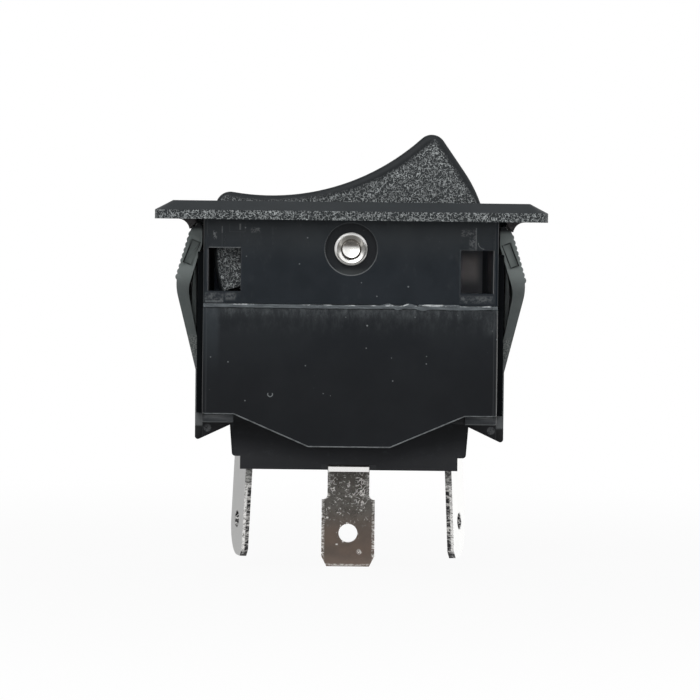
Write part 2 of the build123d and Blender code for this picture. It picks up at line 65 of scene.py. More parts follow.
SHEET_END = high("seal_gasket", 0)
SHEET_SIDE = high("seal_gasket", 1)
SHEET_TOP = high("seal_gasket", 2)
SHEET_LOW = low("seal_gasket", 2)
BODY_END = SHEET_END + 0.05
BODY_SIDE = SHEET_SIDE + 0.05
HOUSING_TOP = high("contact_housing", 2)
BASE_BOTTOM = -29.0
BLADE_TIP = low("common_terminal", 2)
NECK = 2.475                                    # half width of the centre terminal's neck
PIVOT_Z = (low("pivot_rivet", 2) + high("pivot_rivet", 2)) / 2
HOLE_BELOW = 8.1                                # centre terminal's hole, below the base
HOLE_RADIUS = 1.12
WING_SIDE = 6.0                                 # half width of the wings
STRIP_SIDE = 0.4                                # half thickness of the centre terminal's strip
FOLD_Y = -0.45                                  # nearer than this, the neck is its fold, painted near white as a highlight
ROCKER_TILT = radians(16.4)                     # of the rocker at rest
RECESS_RADIUS = 2.98                            # round recess for the rivet's rim
WINDOW_BOTTOM, WINDOW_TOP = -8.3, -3.3          # of the windows in the bezel's side

# Colours that several finishes share
SHADE = (0.004, 0.005, 0.006)                   # painted shade, for deep gaps and the rails beside the wings
CORNER_HIGHLIGHT = (0.06, 0.066, 0.07)               # painted highlight down the vertical corners of the two housings

# Marks on the windowed wall: left, right, bottom, top, and how soft their borders are
MOULD_STEPS = (
    (-16.45, -12.75, -3.3, -3.2, 0.04),         # over the left window
    (-14.98, -14.88, -1.6, -0.8, 0.05),
    (14.4, 14.52, -3.3, -0.7, 0.04),
    (12.65, 14.45, -3.4, -3.28, 0.04),          # over the right window
    (15.15, 16.35, -3.42, -3.33, 0.03),
)
FAINT_LINES = (
    (-14.1, -12.25, -1.47, -1.41, 0.03), (-14.1, -14.04, -1.45, -0.5, 0.03),
    (-12.31, -12.25, -1.45, -0.5, 0.03), (-14.97, -14.9, -3.2, -1.7, 0.03),
    (12.6, 12.68, -8.6, -3.4, 0.04), (12.6, 16.5, -8.62, -8.54, 0.04),
    (-12.75, -12.67, -8.2, -3.4, 0.04),
)
ROUGH_PATCHES = (
    (-11.6, -10.5, -1.5, -0.95, 0.12), (12.7, 14.45, -1.7, -0.95, 0.12),
    (13.7, 14.45, -3.2, -1.7, 0.15),
)
RUBBED_PATCHES = (                              # under both windows
    (-16.9, -14.75, -9.6, -8.5, 0.15), (-14.5, -13.3, -9.3, -8.5, 0.2),
    (12.7, 16.5, -9.4, -8.6, 0.2),
)


# ------------------------------------------------------------------ shader building blocks
class Tree:
    """Node tree of a material or the world, with short calls for the nodes that they share."""

    def __init__(self, owner):
        owner.use_nodes = True
        self.tree = owner.node_tree

    def node(self, kind, **settings):
        made = self.tree.nodes.new(kind)
        for key, value in settings.items():
            setattr(made, key, value)
        return made

    def join(self, source, target):
        """Links a socket, or writes a plain value into it."""
        if isinstance(source, bpy.types.NodeSocket):
            self.tree.links.new(source, target)
        else:
            target.default_value = source

    def split(self, vector):
        made = self.node("ShaderNodeSeparateXYZ")
        self.join(vector, made.inputs[0])
        return made.outputs[0], made.outputs[1], made.outputs[2]

    def math(self, operation, *values, clamp=False):
        made = self.node("ShaderNodeMath", operation=operation, use_clamp=clamp)
        for value, socket in zip(values, made.inputs):
            self.join(value, socket)
        return made.outputs[0]

    def every(self, *masks):
        """Product of several masks."""
        result = masks[0]
        for mask in masks[1:]:
            result = self.math("MULTIPLY", result, mask)
        return result

    def step(self, value, start, end):
        """0 at start, 1 at end, smooth between. start may be above end."""
        made = self.node("ShaderNodeMapRange", interpolation_type="SMOOTHSTEP")
        self.join(value, made.inputs["Value"])
        made.inputs["From Min"].default_value = start
        made.inputs["From Max"].default_value = end
        return made.outputs["Result"]

    def white_to_camera(self, surface, white, share, output):
        """Shows white in a surface's place, by share, to camera and transmission rays."""
        path = self.node("ShaderNodeLightPath")
        seen = self.math("MAXIMUM", path.outputs["Is Camera Ray"],
                         path.outputs["Is Transmission Ray"])
        mix = self.node("ShaderNodeMixShader")
        self.join(self.math("MULTIPLY", seen, share), mix.inputs[0])
        self.join(surface, mix.inputs[1])
        self.join(white, mix.inputs[2])
        self.join(mix.outputs[0], self.tree.nodes[output].inputs["Surface"])


class Shader(Tree):
    """One material, with short calls for the masks and coats that the finishes share."""

    def __init__(self, name):
        self.material = bpy.data.materials.new(name)
        super().__init__(self.material)
        self.surface = self.tree.nodes["Principled BSDF"]
        coordinates = self.node("ShaderNodeTexCoord")
        scaled = self.node("ShaderNodeVectorMath", operation="SCALE")
        self.join(coordinates.outputs["Object"], scaled.inputs[0])
        scaled.inputs["Scale"].default_value = 1 / MM
        self.place = scaled.outputs[0]
        self.x, self.y, self.z = self.split(self.place)
        self.nx, self.ny, self.nz = self.split(coordinates.outputs["Normal"])
        self.out = self.math("ABSOLUTE", self.x)
        self.near = self.step(self.y, 0.1, -0.1)

    def any(self, *masks):
        """Largest of several masks."""
        result = masks[0]
        for mask in masks[1:]:
            result = self.math("MAXIMUM", result, mask)
        return result

    def stretch(self, factors, shift=(0, 0, 0)):
        """The place, with each axis scaled by its own factor."""
        made = self.node("ShaderNodeVectorMath", operation="MULTIPLY_ADD")
        self.join(self.place, made.inputs[0])
        made.inputs[1].default_value = factors
        made.inputs[2].default_value = shift
        return made.outputs[0]

    def noise(self, scale, detail=2.0, roughness=0.5, vector=None):
        made = self.node("ShaderNodeTexNoise")
        self.join(vector or self.place, made.inputs["Vector"])
        made.inputs["Scale"].default_value = scale
        made.inputs["Detail"].default_value = detail
        made.inputs["Roughness"].default_value = roughness
        return made.outputs["Fac"]

    def veins(self, scale, width, vector=None):
        """Thin worm-like lines, 1 in their middle. Width is a share of the noise's range."""
        swing = self.math("SUBTRACT", self.noise(scale, 1.0, 0.6, vector), 0.5)
        return self.step(self.math("ABSOLUTE", swing), width, 0.2 * width)

    def between(self, value, start, end, soft):
        """1 where value lies between start and end, with soft borders."""
        return self.every(
            self.step(value, start - soft, start + soft), self.step(value, end + soft, end - soft)
        )

    def patch(self, left, right, bottom, top, soft):
        """Rectangle on the near side, with soft borders."""
        return self.every(
            self.between(self.x, left, right, soft), self.between(self.z, bottom, top, soft),
            self.near,
        )

    def patches(self, rows):
        """Several rectangles on the near side."""
        return self.any(*(self.patch(*row) for row in rows))

    def distance(self, first, second, start=(0, 0)):
        """Distance of two coordinates from a start."""
        squares = [self.math("POWER", self.math("SUBTRACT", value, origin), 2)
                   for value, origin in zip((first, second), start)]
        return self.math("SQRT", self.math("ADD", *squares))

    def ring(self, centre, radius, soft, thin):
        """Thin circle in the side view: 0 at soft away from its line and 1 at thin."""
        gap = self.math("SUBTRACT", self.distance(self.x, self.z, centre), radius)
        return self.step(self.math("ABSOLUTE", gap), soft, thin)

    def dust(self, spacing, size, share, seed=0.0):
        """Sparse specks: share of the cells hold one, at most size across."""
        spots = self.node("ShaderNodeTexVoronoi", feature="F1")
        self.join(self.stretch((1, 1, 1), (seed, seed, seed)), spots.inputs["Vector"])
        spots.inputs["Scale"].default_value = 1 / spacing
        pick = self.split(spots.outputs["Color"])[0]
        radius = self.math("MULTIPLY", self.step(pick, 1 - share, 1), size / spacing)
        inside = self.math("SUBTRACT", radius, spots.outputs["Distance"])
        return self.step(inside, 0, 0.3 * size / spacing)

    def blend(self, share, first, second):
        """Number between first and second."""
        made = self.node("ShaderNodeMix", data_type="FLOAT")
        for value, socket in ((share, 0), (first, 2), (second, 3)):
            self.join(value, made.inputs[socket])
        return made.outputs[0]

    def tint(self, share, first, second):
        """Colour between first and second. A plain colour is three numbers."""
        made = self.node("ShaderNodeMix", data_type="RGBA")
        self.join(share, made.inputs[0])
        for colour, socket in ((first, made.inputs[6]), (second, made.inputs[7])):
            self.join((*colour, 1) if isinstance(colour, tuple) else colour, socket)
        return made.outputs[2]

    def layers(self, colour, *coats):
        """Lays coats, each a mask and a colour, over a colour."""
        for mask, coat in coats:
            colour = self.tint(mask, colour, coat)
        return colour

    def bump(self, height, depth):
        """Normal of a relief, depth millimetres deep."""
        made = self.node("ShaderNodeBump")
        self.join(height, made.inputs["Height"])
        made.inputs["Distance"].default_value = depth * MM
        return made.outputs[0]

    def finish(self, colour, roughness, normal, metallic=0.0, specular=0.5):
        """Connects the surface, and returns the material."""
        for value, socket in ((colour, "Base Color"), (roughness, "Roughness"),
                              (metallic, "Metallic"), (specular, "Specular IOR Level"),
                              (normal, "Normal")):
            self.join(value, self.surface.inputs[socket])
        return self.material


def grain(shader):
    """Fine worm-like grain: its height, and its colour on a dark ground."""
    lines = shader.veins(3.4, 0.075)
    patchy = shader.noise(1.1, 3, 0.6, shader.stretch((1, 1, 1), (3, 5, 7)))
    bright = shader.blend(shader.step(patchy, 0.3, 0.68), 0.55, 1.0)
    ground = shader.tint(shader.noise(3.1, 2), (0.015, 0.0175, 0.0185), (0.043, 0.049, 0.052))
    colour = shader.tint(shader.every(lines, bright), ground, (0.4, 0.425, 0.43))
    return lines, colour


# ------------------------------------------------------------------ finishes
def windowed_wall(s, depth, scuffs, worn):
    """Colour of the outer walls, painted darker lower down as shade, with the mould marks of the
    near one and painted highlights on its corners.
    """
    clouds = s.step(s.noise(0.2, 4, 0.6), 0.35, 0.65)
    rubbed = s.step(s.noise(2.4, 4, 0.75), 0.42, 0.62)
    # Darker lower down: painted shade
    wall = s.tint(depth, s.tint(clouds, (0.017, 0.0215, 0.0255), (0.022, 0.0265, 0.0305)),
                  s.tint(clouds, (0.0085, 0.0122, 0.0165), (0.012, 0.0162, 0.0215)))
    streak = s.patch(-16.8, -14.75, -9.62, -9.38, 0.06)

    # A quarter circle over the right window, and a torn line over the left one
    hook_x, hook_z = 15.45, -2.4
    hook = s.every(s.ring((hook_x, hook_z), 0.75, 0.07, 0.02), s.step(s.x, hook_x, hook_x - 0.1),
                   s.step(s.z, hook_z + 0.05, hook_z - 0.05), s.near)
    squiggle = s.every(s.patch(-15.95, -15.55, -2.3, -1.3, 0.06), s.veins(2.6, 0.09))
    marks = s.any(s.patches(MOULD_STEPS), hook, squiggle)

    # Painted highlight: a broken pale line down the wall's vertical corners
    broken = s.step(s.noise(0.8, 3, vector=s.stretch((0.1, 0.1, 1))), 0.42, 0.55)
    corner_highlight = s.every(s.between(s.out, BODY_END - 0.5, BODY_END - 0.4, 0.05), s.near, broken)
    rough = s.step(s.noise(3.2, 4, 0.8), 0.44, 0.6)
    tick = s.any(s.patch(-12.95, -12.76, -1.2, -0.5, 0.05),
                 s.every(s.patches(ROUGH_PATCHES), rough))
    specks = s.any(s.dust(1.7, 0.17, 0.24), s.dust(0.9, 0.12, 0.28, 5.0))

    # The rivet's recess is paler low down, where it and its edge catch the light
    from_rivet = s.distance(s.x, s.z, (0, PIVOT_Z))
    recess = s.every(s.step(from_rivet, RECESS_RADIUS + 0.04, RECESS_RADIUS - 0.02), s.near)
    recess_tone = s.tint(s.step(s.z, PIVOT_Z - 2.0, PIVOT_Z - 2.9),
                         (0.016, 0.0185, 0.022), (0.05, 0.056, 0.058))
    ring = s.every(s.between(from_rivet, RECESS_RADIUS, RECESS_RADIUS + 0.12, 0.03), s.near,
                   s.blend(s.step(s.z, PIVOT_Z + 1.5, PIVOT_Z - 2.5), 0.35, 1.0))
    return s.layers(
        wall,
        (s.every(scuffs, s.blend(depth, 0.35, 0.15)), (0.06, 0.065, 0.07)),
        (s.every(worn, rubbed), (0.075, 0.082, 0.086)),
        (s.every(streak, s.blend(rubbed, 0.5, 1.0)), (0.09, 0.1, 0.105)),
        (s.every(marks, s.blend(rubbed, 0.55, 1.0)), (0.14, 0.15, 0.155)),
        (s.every(corner_highlight, s.blend(s.step(s.x, 1, -1), 0.2, 0.5)), CORNER_HIGHLIGHT),
        (recess, recess_tone),
        (ring, (0.13, 0.14, 0.145)),
        (s.every(s.patches(FAINT_LINES), 0.6), (0.05, 0.055, 0.06)),
        (s.every(tick, 0.8), (0.11, 0.115, 0.12)),
        (specks, (0.13, 0.14, 0.15)),
    ), rubbed


def inside_windows(s, wall):
    """The walls that show through the windows, painted pale because they lie in deep shade, with a
    darker slot and left end as painted shade, and a paler strip past the slot as painted light.
    """
    inside = s.every(s.step(s.math("ABSOLUTE", s.y), BODY_SIDE - 1.55, BODY_SIDE - 1.65),
                     s.step(s.out, BODY_END - 0.55, BODY_END - 0.65))
    far_wall = s.every(inside, s.step(s.y, 5, 6), s.step(s.z, -3.0, -3.4))
    end_wall = s.every(s.step(s.out, BODY_END - 0.65, BODY_END - 0.55),
                       s.step(s.out, BODY_END - 0.5, BODY_END - 0.59),
                       s.between(s.z, WINDOW_BOTTOM, WINDOW_TOP, 0.1))
    right = s.step(s.x, -1, 1)
    slot = s.between(s.x, 15.9, 16.55, 0.05)
    # Painted light: mottling, and a pool of light on the far wall
    painted_light_mottle = s.step(s.noise(0.45, 3, 0.6, s.stretch((1, 1, 1.6))), 0.4, 0.62)
    glow = s.every(s.between(s.z, -7.0, -4.2, 0.9), s.between(s.x, 13.2, 15.4, 0.5))
    left_tone = s.tint(painted_light_mottle, (0.45, 0.45, 0.47), (0.78, 0.75, 0.75))
    right_tone = s.tint(glow, (0.24, 0.245, 0.28), (0.9, 0.83, 0.84))
    return s.layers(
        wall,
        (far_wall, s.tint(right, left_tone, right_tone)),
        # Painted shade on a slot and the left end, a painted highlight past the slot, and pale
        # painted end walls
        (s.every(far_wall, slot), (0.03, 0.036, 0.045)),
        (s.every(far_wall, s.step(s.x, -14.0, -14.5)), (0.1, 0.13, 0.17)),
        (s.every(far_wall, s.step(s.x, 16.55, 16.65)), (0.75, 0.75, 0.77)),
        (end_wall, s.tint(right, (0.12, 0.125, 0.13), (0.19, 0.195, 0.2))),
    )


def bezel_finish():
    """Satin bevel, grained rim, and near-black walls with mould marks round the windows."""
    s = Shader("bezel_nylon")
    walls = s.step(s.z, 0.02, -0.02)
    upright = s.step(s.math("ABSOLUTE", s.nz), 0.5, 0.2)
    outside = s.any(s.step(s.out, BODY_END + 2, BODY_END + 3),
                    s.step(s.math("ABSOLUTE", s.y), BODY_SIDE + 0.5, BODY_SIDE + 1))
    rim = s.every(upright, outside, s.step(s.z, -0.05, 0.02))
    lines, grained = grain(s)
    satin = s.tint(s.noise(0.35, 3), (0.024, 0.0275, 0.03), (0.034, 0.038, 0.041))

    # 0 high on the wall and 1 low down, for the wall's painted shade
    depth = s.step(s.z, -1.5, -5.5)
    scuffs = s.step(s.noise(1.0, 5, 0.75, s.stretch((1, 1, 0.45))), 0.56, 0.76)
    worn = s.patches(RUBBED_PATCHES)
    wall, rubbed = windowed_wall(s, depth, scuffs, worn)
    wall = inside_windows(s, wall)
    # The rails beside the wings are painted SHADE, as painted shade
    rails = s.every(s.step(s.out, BODY_END, BODY_END + 0.1), s.step(s.z, -3.6, -3.7))
    gussets = s.every(s.step(s.out, BODY_END + 0.9, BODY_END + 1.1), s.step(s.z, -1.5, -1.3))
    gusset_tone = s.tint(rubbed, (0.07, 0.066, 0.068), (0.115, 0.108, 0.11))
    wall = s.layers(wall, (rails, SHADE), (gussets, gusset_tone))

    colour = s.tint(walls, s.tint(rim, satin, grained), wall)
    roughness = s.blend(walls, s.blend(rim, 0.5, 0.55),
                        s.blend(s.any(scuffs, worn), 0.34, 0.55))
    height = s.blend(rim, s.math("MULTIPLY", s.noise(14, 2), 0.04), lines)
    height = s.blend(walls, height, s.math("MULTIPLY", s.noise(0.5, 2), 0.2))
    right_corner = s.step(s.x, BODY_END - 0.35, BODY_END - 0.25)
    specular = s.blend(walls, 0.2, s.blend(s.any(rails, right_corner), 0.35, 0.05))
    return s.finish(colour, roughness, s.bump(height, 0.07), specular=specular)


def rocker_finish():
    """Fine grain on the sides inside a smooth border, painted dark partly as shade, and a satin
    dished top.
    """
    s = Shader("rocker_nylon")
    tilt = ROCKER_TILT
    dish_radius, dish_height, reach, draft = 26.1, 7.5, 15.95, radians(18.3)
    rise = s.math("SUBTRACT", s.z, PIVOT_Z)
    along = s.math("ADD", s.math("MULTIPLY", s.x, cos(tilt)), s.math("MULTIPLY", rise, sin(tilt)))
    up = s.math("SUBTRACT", s.math("MULTIPLY", rise, cos(tilt)),
                s.math("MULTIPLY", s.x, sin(tilt)))
    above = s.math("SUBTRACT", up, dish_height + dish_radius)
    to_dish = s.math("SUBTRACT", s.distance(along, above), dish_radius)
    to_draft = s.math("SUBTRACT", reach, s.math(
        "ADD", s.math("MULTIPLY", s.math("ABSOLUTE", along), cos(draft)),
        s.math("MULTIPLY", up, sin(draft))))
    inset = s.math("MINIMUM", to_dish, s.math("ADD", to_draft, 0.3))
    ragged = s.math("ADD", inset, s.math("MULTIPLY", s.noise(1.8, 3, 0.7), 0.8))
    border = s.blend(s.step(along, -6, 8), 0.75, 1.25)
    inner = s.math("SUBTRACT", ragged, border)
    side = s.step(s.math("ABSOLUTE", s.ny), 0.7, 0.95)
    grained = s.every(side, s.step(inner, 0, 0.7))
    lines, grain_tone = grain(s)
    # The smooth border: darker than the grain, partly as painted shade on its rounded edge
    smooth_tone = s.tint(s.noise(0.5, 3), (0.012, 0.0145, 0.0165), (0.019, 0.0215, 0.0235))
    colour = s.tint(grained, smooth_tone, grain_tone)
    height = s.blend(grained, s.math("MULTIPLY", s.noise(12, 2), 0.05), lines)
    return s.finish(colour, s.blend(grained, 0.55, 0.6), s.bump(height, 0.07),
                    specular=s.blend(grained, 0.2, 0.35))


def bright_edges(s):
    """Lower outer chamfered edges, as a mask for a painted highlight."""
    return s.every(s.step(s.nz, -0.35, -0.55), s.step(s.math("ABSOLUTE", s.ny), 0.35, 0.55))


def housing_finish():
    """Near-black moulding, painted darker lower down as shade, with a frosted band under its top
    edge, a painted highlight on its lower edge and painted shade on the rails.
    """
    s = Shader("housing_phenolic")
    clouds = s.step(s.noise(0.16, 4, 0.6), 0.35, 0.65)
    high_tone = s.tint(clouds, (0.0075, 0.0095, 0.0125), (0.0105, 0.013, 0.016))
    low_tone = s.tint(clouds, (0.006, 0.0072, 0.0092), (0.0078, 0.0092, 0.0115))
    # Darker lower down: painted shade, as the light falls from above
    colour = s.tint(s.step(s.z, -12, -21), high_tone, low_tone)
    streaks = s.step(s.noise(1.6, 6, 0.8, s.stretch((1, 1, 0.4))), 0.4, 0.7)
    band = s.step(s.z, HOUSING_TOP - 1.7, HOUSING_TOP - 0.1)
    faint = s.step(s.z, HOUSING_TOP - 4.0, HOUSING_TOP)
    end_patch = s.every(s.step(s.x, 14.6, 16.2), s.step(s.z, HOUSING_TOP - 3.6, HOUSING_TOP - 1.0))
    left_strip = s.every(s.step(s.x, -14.9, -15.6), s.step(s.z, HOUSING_TOP - 9, HOUSING_TOP))
    frost = s.any(s.every(band, s.blend(streaks, 0.12, 1.0)), s.every(faint, streaks, 0.35),
                  s.every(end_patch, s.blend(streaks, 0.15, 0.9)))
    specks = s.any(s.dust(2.6, 0.2, 0.3), s.dust(1.0, 0.13, 0.4, 7.0))
    crowd = s.every(s.dust(0.5, 0.1, 0.3, 2.0), s.any(end_patch, band))
    curl = s.every(s.ring((-9.2, -20.2), 0.28, 0.08, 0.02), s.step(s.z, -20.0, -20.15), s.near)
    edges = bright_edges(s)
    wander = s.blend(s.step(s.noise(1.1, 3, 0.7), 0.35, 0.6), 0.55, 1.0)
    # Painted highlight down the housing's vertical corners
    corner_highlight = s.between(s.out, BODY_END - 0.5, BODY_END - 0.4, 0.05)
    colour = s.layers(
        colour,
        (s.every(frost, s.near), (0.062, 0.07, 0.075)),
        (s.every(left_strip, 0.5), (0.035, 0.044, 0.052)),
        (s.every(corner_highlight, s.near, 0.3), CORNER_HIGHLIGHT),
        (s.any(specks, crowd, curl), (0.16, 0.175, 0.18)),
        # Painted highlight along the chamfered lower edges
        (s.every(edges, wander), (0.26, 0.28, 0.29)),
    )
    # The rails beside the wings are painted SHADE, as painted shade
    rails = s.step(s.out, BODY_END, BODY_END + 0.1)
    colour = s.tint(rails, colour, SHADE)
    roughness = s.blend(s.any(frost, specks), 0.34, 0.6)
    height = s.math("ADD", s.math("MULTIPLY", s.noise(0.3, 2), 0.5),
                    s.math("MULTIPLY", specks, 0.25))
    return s.finish(colour, roughness, s.bump(height, 0.08), specular=s.blend(rails, 0.35, 0.05))


def base_finish():
    """Matte moulding: a near-black block, grey wings with a scored panel, and dull straps, with
    painted light and shadow on the wings, a painted highlight on the ledge and painted shade on
    the feet.
    """
    s = Shader("base_nylon")
    beyond = s.step(s.out, BODY_END, BODY_END + 0.15)
    leaf = s.every(beyond, s.step(s.z, -17.2, -15.8))
    block = s.tint(s.noise(0.3, 4), (0.012, 0.013, 0.015), (0.017, 0.018, 0.0205))
    strap = s.tint(s.noise(0.5, 3), (0.1, 0.107, 0.111), (0.13, 0.139, 0.144))
    frosted = s.tint(s.noise(1.1, 5, 0.7), (0.066, 0.076, 0.076), (0.094, 0.107, 0.106))
    # Painted light: the wings paler up high, where the flange shades them
    frosted = s.tint(s.step(s.z, -8.5, -5.5), frosted, (0.19, 0.215, 0.21))
    # Painted shadow on the tops of the wing tips
    frosted = s.tint(s.step(s.z, -1.5, -0.9), frosted, (0.02, 0.022, 0.024))
    band = s.every(s.between(s.z, -16.2, -13.6, 0.3), leaf)
    speckle = s.step(s.noise(5.0, 3, 0.7), 0.42, 0.6)
    frosted = s.tint(s.every(band, 0.7), frosted,
                     s.tint(speckle, (0.04, 0.045, 0.045), (0.2, 0.215, 0.21)))

    # Scored rectangle in the side of each wing
    lean = radians(21.5)
    dx, dz = s.math("SUBTRACT", s.out, 18.63), s.math("ADD", s.z, 3.9)
    run = s.math("SUBTRACT", s.math("MULTIPLY", dx, sin(lean)), s.math("MULTIPLY", dz, cos(lean)))
    wide = s.math("ADD", s.math("MULTIPLY", dx, cos(lean)), s.math("MULTIPLY", dz, sin(lean)))
    reach = s.math("MAXIMUM", s.math("SUBTRACT", s.math("ABSOLUTE", run), 1.4),
                   s.math("SUBTRACT", s.math("ABSOLUTE", wide), 0.48))
    score = s.step(s.math("ABSOLUTE", reach), 0.11, 0.04)
    score = s.every(score, s.step(s.math("ABSOLUTE", s.ny), 0.5, 0.8), s.step(s.z, -6.5, -6.3))

    ledge = s.every(s.step(s.math("ABSOLUTE", s.y), 9.2, 9.4), s.step(s.out, 13.3, 13.5))
    # Painted highlight along the ledge's lower edge
    ledge_highlight = s.every(ledge, bright_edges(s))
    upper = s.every(ledge, s.between(s.z, -22.95, -22.6, 0.05))
    pin = s.every(s.step(s.distance(s.out, s.z, (16.6, -24.4)), 0.5, 0.42),
                  s.step(s.ny, -0.6, -0.9), s.step(s.y, -5, -5.5),
                  s.step(s.noise(4.0, 3, 0.7), 0.36, 0.52))
    scuffs = s.every(s.step(s.noise(1.2, 5, 0.75), 0.56, 0.72), 0.5)
    # Painted shade on the feet, which lie set back under the ledge
    toe = s.every(s.step(s.z, -24.0, -24.3), s.step(s.out, 14.6, 14.8), beyond)
    colour = s.layers(
        s.tint(leaf, s.tint(beyond, block, strap), frosted),
        (ledge, s.tint(s.noise(1.4, 4, 0.7), (0.022, 0.0245, 0.0275), (0.036, 0.039, 0.043))),
        (upper, (0.014, 0.016, 0.018)),
        (s.every(scuffs, s.step(s.z, -23, -24)), (0.032, 0.036, 0.04)),
        (ledge_highlight, (0.08, 0.088, 0.092)),
        (toe, (0.009, 0.01, 0.011)),
        (pin, (0.1, 0.105, 0.11)),
        (score, (0.008, 0.009, 0.01)),
        (s.dust(2.1, 0.15, 0.12, 3.0), (0.1, 0.108, 0.11)),
    )
    height = s.math("ADD", s.math("MULTIPLY", s.noise(9, 3), s.blend(leaf, 0.05, 0.25)),
                    s.math("MULTIPLY", s.noise(0.6, 2), 0.3))
    return s.finish(colour, s.blend(leaf, 0.5, 0.62), s.bump(height, 0.08), specular=0.3)


def centre_blade_finish():
    """Dull tinned blade: grey above and browner below, with a bent-over band at the base that is
    painted near white as a highlight, painted shade where it enters the base, a painted
    reflection at the tip, bright nicks beside the neck and torn, coined edges."""
    s = Shader("centre_terminal_metal")
    below = s.math("SUBTRACT", BASE_BOTTOM, s.z)
    tears = s.noise(2.6, 5, 0.8, s.stretch((0.8, 0.8, 1.8)))
    sheared = s.any(s.step(s.math("ABSOLUTE", s.nx), 0.45, 0.7), s.step(s.nz, -0.45, -0.7))
    clouds = s.step(s.noise(0.42, 5, 0.6), 0.36, 0.66)
    upper = s.tint(clouds, (0.185, 0.174, 0.158), (0.14, 0.13, 0.116))
    lower = s.tint(clouds, (0.19, 0.142, 0.115), (0.15, 0.12, 0.1))
    body = s.tint(s.step(below, 4.5, 8.5), upper, lower)
    # Painted reflection: the tip lighter, as if it mirrored the floor
    tip_painted_reflection = s.step(below, 10.4, 11.8)
    body = s.tint(s.every(tip_painted_reflection, 0.5), body, (0.26, 0.2, 0.165))

    half = s.blend(s.step(below, 3.7, 4.2), NECK, 3.15)
    inset = s.math("SUBTRACT", half, s.out)
    coined = s.every(s.step(inset, 0.42, 0.2), s.step(tears, 0.45, 0.6))
    squiggle = s.veins(2.0, 0.07)
    beside = s.any(s.every(s.between(s.x, 0.9, 2.1, 0.2), s.between(below, 0.9, 4.6, 0.4)),
                   s.every(s.between(s.x, -2.15, -1.55, 0.15), s.between(below, 1.2, 3.4, 0.3)))
    thin = s.every(s.step(s.noise(1.6, 3, 0.7), 0.52, 0.6), s.step(below, 7.6, 5.5))
    cuts = s.every(s.veins(2.4, 0.06, s.stretch((1, 1, 1), (9, 4, 2))),
                   s.step(below, 8.0, 5.0), s.step(s.noise(1.5, 2), 0.42, 0.52))
    around = s.distance(s.x, below, (0, HOLE_BELOW))
    burr = s.every(s.between(around, HOLE_RADIUS, HOLE_RADIUS + 0.26, 0.04),
                   s.step(s.noise(2.6, 2), 0.58, 0.63))
    nicks = s.any(s.dust(2.4, 0.34, 0.2, 1.5), s.dust(1.1, 0.14, 0.14, 4.5))
    ragged = s.every(nicks, s.step(s.noise(6.0, 2), 0.38, 0.52))
    flecks = s.any(
        s.every(squiggle, beside, s.step(s.noise(1.7, 2), 0.3, 0.45)),
        s.every(squiggle, thin, 0.8), coined, ragged, burr,
        s.every(s.between(s.x, -2.6, -2.35, 0.06), s.between(below, 6.15, 6.35, 0.05)),
        s.every(s.between(s.x, -1.45, -1.2, 0.06), s.between(below, 9.35, 9.5, 0.05)),
    )
    scuff = s.every(s.step(s.distance(s.x, below, (1.35, 10.3)), 0.42, 0.15),
                    s.step(s.noise(3.4, 4, 0.85), 0.44, 0.52))
    # The fold: a painted highlight, a near-white mirror finish unlike the rest of the strip
    band = s.every(s.step(s.y, FOLD_Y + 0.01, FOLD_Y), s.step(below, 0.1, 0.15))
    tip_line = s.every(s.between(s.z, BLADE_TIP + 0.08, BLADE_TIP + 0.3, 0.06),
                       s.step(tears, 0.42, 0.56))
    edge = s.tint(s.step(tears, 0.42, 0.58), (0.06, 0.055, 0.05), (0.85, 0.83, 0.8))
    pale = s.any(flecks, scuff, s.every(tip_line, 0.7))
    colour = s.layers(body, (s.every(cuts, 0.6), (0.06, 0.056, 0.05)),
                      (pale, (0.9, 0.88, 0.85)), (band, (0.95, 0.945, 0.93)),
                      (sheared, edge))
    # Painted shade where the strip enters the base's notch
    gap = s.every(s.step(below, 0.16, 0.05), s.step(below, -1.5, -1.0))
    colour = s.tint(gap, colour, (0.01, 0.01, 0.01))
    dull = s.every(s.any(pale, s.every(sheared, 0.7), gap), s.step(band, 1, 0))
    shiny = s.math("SUBTRACT", 1.0, dull, clamp=True)
    metallic = s.blend(band, s.math("MULTIPLY", shiny, 0.4), 1.0)
    height = s.math("ADD", s.math("MULTIPLY", s.noise(3.0, 4, 0.6), 0.5),
                    s.every(tears, sheared))
    height = s.blend(band, height, 0.0)
    rough = s.blend(band, s.blend(clouds, 0.34, 0.42), 0.12)
    return s.finish(colour, rough, s.bump(height, 0.05), metallic=metallic)


